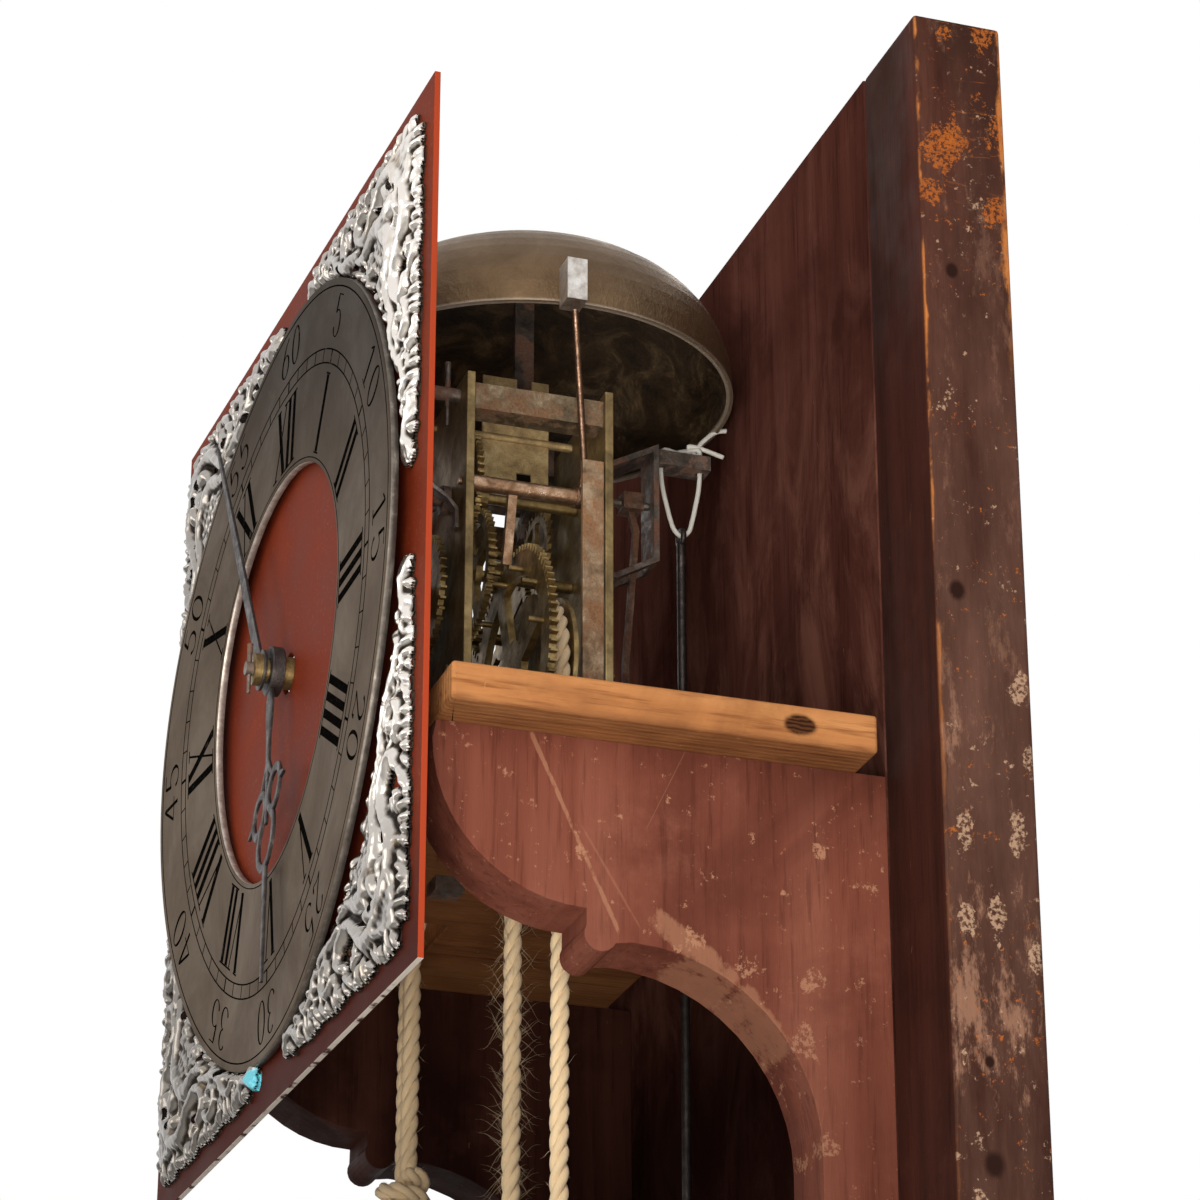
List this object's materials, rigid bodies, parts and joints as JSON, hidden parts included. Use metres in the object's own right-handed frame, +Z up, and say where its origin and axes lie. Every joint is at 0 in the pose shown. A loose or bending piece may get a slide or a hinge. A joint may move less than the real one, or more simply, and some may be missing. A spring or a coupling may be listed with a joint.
{
  "type": "longcase clock",
  "caption": "Longcase clock with its hood lifted off: a rope-driven striking movement with bell and square dial on a seatboard, in a tall wooden case with door and plinth.",
  "frame": {"origin": "centre of the case's footprint at floor level", "axes": "+Z up, +Y to the back, +X to the right as seen from the front"},
  "size_m": [0.355, 0.241, 1.937],
  "materials": {
    "case_wood": "worn dark stain",
    "bare_wood": "bare sawn wood",
    "brass": "dull, tarnished",
    "iron": "oxidised",
    "dial_paint": "matte brick red",
    "ring_metal": "silvered, dulled",
    "cast_lead": "pale cast metal",
    "dark_steel": "blued, worn",
    "bell_metal": "dark bell metal",
    "cord": "white twisted cord",
    "rope": "twisted fibre",
    "weight_iron": "dull grey"
  },
  "bodies": {
    "case": {"backboard": "case_wood", "backboard_ears": "case_wood", "trunk_side_left": "case_wood", "trunk_side_right": "case_wood", "seatboard": "bare_wood", "trunk_front_frame": "case_wood", "door_hinge_leaves": "iron", "trunk_top_moulding": "case_wood", "trunk_base_moulding": "case_wood", "plinth_boards": "case_wood", "plinth_skirting": "case_wood", "front_plate": "brass", "back_plate": "brass", "pillars": "iron", "seatboard_bolts": "iron", "back_cock": "iron", "hammer_spring": "iron", "detent_spring": "iron", "bell_stand": "iron", "bell": "bell_metal", "bell_nut": "iron", "motion_studs": "iron", "dial_plate": "dial_paint", "chapter_ring": "ring_metal", "spandrels": "cast_lead", "dial_feet": "iron", "taper_pins": "iron", "going_rope": "rope", "strike_rope": "rope", "hand_collet": "brass"},
    "door": {"trunk_door": "case_wood", "door_hinge_knuckles": "iron"},
    "door_latch": {"door_latch": "brass"},
    "minute_hand": {"minute_hand": "dark_steel", "cannon_pinion": "brass"},
    "hour_hand": {"hour_hand": "dark_steel", "hour_wheel": "brass"},
    "minute_wheel": {"minute_wheel": "brass"},
    "going_great_wheel": {"going_great_wheel": "brass", "going_pulley": "brass"},
    "second_wheel": {"second_wheel": "brass"},
    "escape_wheel": {"escape_wheel": "brass"},
    "pallets": {"pallets": "iron", "crutch": "iron"},
    "pendulum": {"suspension_cord": "cord", "pendulum_rod": "iron", "pendulum_bob": "brass", "rating_nut": "brass"},
    "strike_great_wheel": {"strike_great_wheel": "brass", "strike_pulley": "brass"},
    "hoop_wheel": {"hoop_wheel": "brass"},
    "warning_wheel": {"warning_wheel": "brass"},
    "fly": {"fly": "brass"},
    "hammer": {"hammer_arbor": "iron", "hammer": "cast_lead"},
    "count_wheel": {"count_wheel": "brass"},
    "detent_lever": {"detent_lever": "iron"},
    "lifting_piece": {"lifting_piece": "iron"},
    "going_weight": {"going_weight": "weight_iron"},
    "strike_weight": {"strike_weight": "weight_iron"}
  },
  "joints": [
    {"name": "door_hinge", "type": "hinge", "parent": "case", "child": "door", "pos_m": [0.101, -0.08365, 0.96], "axis": [0, 0, 1], "range_deg": [0, 105]},
    {"name": "door_latch_turn", "type": "hinge", "parent": "door", "child": "door_latch", "pos_m": [-0.075, -0.07045, 0.96], "axis": [0, 1, 0], "range_deg": [0, 90]},
    {"name": "minute_hand_turn", "type": "hinge", "parent": "case", "child": "minute_hand", "pos_m": [0, -0.07045, 1.75], "axis": [0, 1, 0], "continuous": true},
    {"name": "hour_hand_turn", "type": "hinge", "parent": "case", "child": "hour_hand", "pos_m": [0, -0.07045, 1.75], "axis": [0, 1, 0], "continuous": true},
    {"name": "minute_wheel_turn", "type": "hinge", "parent": "case", "child": "minute_wheel", "pos_m": [0.0253, -0.03045, 1.77123], "axis": [0, 1, 0], "continuous": true},
    {"name": "going_great_wheel_turn", "type": "hinge", "parent": "case", "child": "going_great_wheel", "pos_m": [-0.043, -0.00045, 1.7405], "axis": [0, 1, 0], "continuous": true},
    {"name": "second_wheel_turn", "type": "hinge", "parent": "case", "child": "second_wheel", "pos_m": [-0.02302, -0.00045, 1.78339], "axis": [0, 1, 0], "continuous": true},
    {"name": "escape_wheel_turn", "type": "hinge", "parent": "case", "child": "escape_wheel", "pos_m": [-0.003, -0.00045, 1.8067], "axis": [0, 1, 0], "continuous": true},
    {"name": "pendulum_swing", "type": "hinge", "parent": "case", "child": "pendulum", "pos_m": [-0.003, 0.07185, 1.8494], "axis": [0, 1, 0], "range_deg": [-3, 3]},
    {"name": "pallets_rock", "type": "hinge", "parent": "case", "child": "pallets", "pos_m": [-0.003, -0.00045, 1.8336], "axis": [0, 1, 0], "range_deg": [-3.6, 3.6]},
    {"name": "hoop_wheel_turn", "type": "hinge", "parent": "case", "child": "hoop_wheel", "pos_m": [0.02364, -0.00045, 1.78482], "axis": [0, 1, 0], "continuous": true},
    {"name": "strike_great_wheel_turn", "type": "hinge", "parent": "case", "child": "strike_great_wheel", "pos_m": [0.043, -0.00045, 1.7405], "axis": [0, 1, 0], "continuous": true},
    {"name": "warning_wheel_turn", "type": "hinge", "parent": "case", "child": "warning_wheel", "pos_m": [0.02865, -0.00045, 1.81185], "axis": [0, 1, 0], "continuous": true},
    {"name": "fly_turn", "type": "hinge", "parent": "case", "child": "fly", "pos_m": [0.02297, -0.00045, 1.83855], "axis": [0, 1, 0], "continuous": true},
    {"name": "count_wheel_turn", "type": "hinge", "parent": "case", "child": "count_wheel", "pos_m": [-0.0065, 0.02755, 1.7405], "axis": [0, 1, 0], "continuous": true},
    {"name": "hammer_swing", "type": "hinge", "parent": "case", "child": "hammer", "pos_m": [0.054, -0.00045, 1.8042], "axis": [0, 1, 0], "range_deg": [-3.2, 9], "stiffness_Nm_per_rad": 0.12},
    {"name": "detent_lift", "type": "hinge", "parent": "case", "child": "detent_lever", "pos_m": [-0.024, -0.00045, 1.8348], "axis": [0, 1, 0], "range_deg": [0, 8]},
    {"name": "lifting_piece_lift", "type": "hinge", "parent": "case", "child": "lifting_piece", "pos_m": [0.04, -0.02845, 1.803], "axis": [0, 1, 0], "range_deg": [0, 10]},
    {"name": "going_weight_drop", "type": "slide", "parent": "case", "child": "going_weight", "axis": [0, 0, -1], "range_m": [0, 0.85], "deforming": ["going_rope"]},
    {"name": "strike_weight_drop", "type": "slide", "parent": "case", "child": "strike_weight", "axis": [0, 0, -1], "range_m": [0, 0.85], "deforming": ["strike_rope"]}
  ],
  "couplings": [
    {"joint": "hour_hand_turn", "follows": "minute_hand_turn", "ratio": 0.083333},
    {"joint": "minute_wheel_turn", "follows": "minute_hand_turn", "ratio": -0.5},
    {"joint": "going_great_wheel_turn", "follows": "minute_hand_turn", "ratio": -0.33333},
    {"joint": "second_wheel_turn", "follows": "minute_hand_turn", "ratio": 4},
    {"joint": "escape_wheel_turn", "follows": "minute_hand_turn", "ratio": -60},
    {"joint": "pallets_rock", "follows": "pendulum_swing", "ratio": 1.165},
    {"joint": "strike_great_wheel_turn", "follows": "hoop_wheel_turn", "ratio": -0.10714},
    {"joint": "warning_wheel_turn", "follows": "hoop_wheel_turn", "ratio": -4.1667},
    {"joint": "fly_turn", "follows": "hoop_wheel_turn", "ratio": 14.286},
    {"joint": "count_wheel_turn", "follows": "hoop_wheel_turn", "ratio": 0.016484}
  ]
}
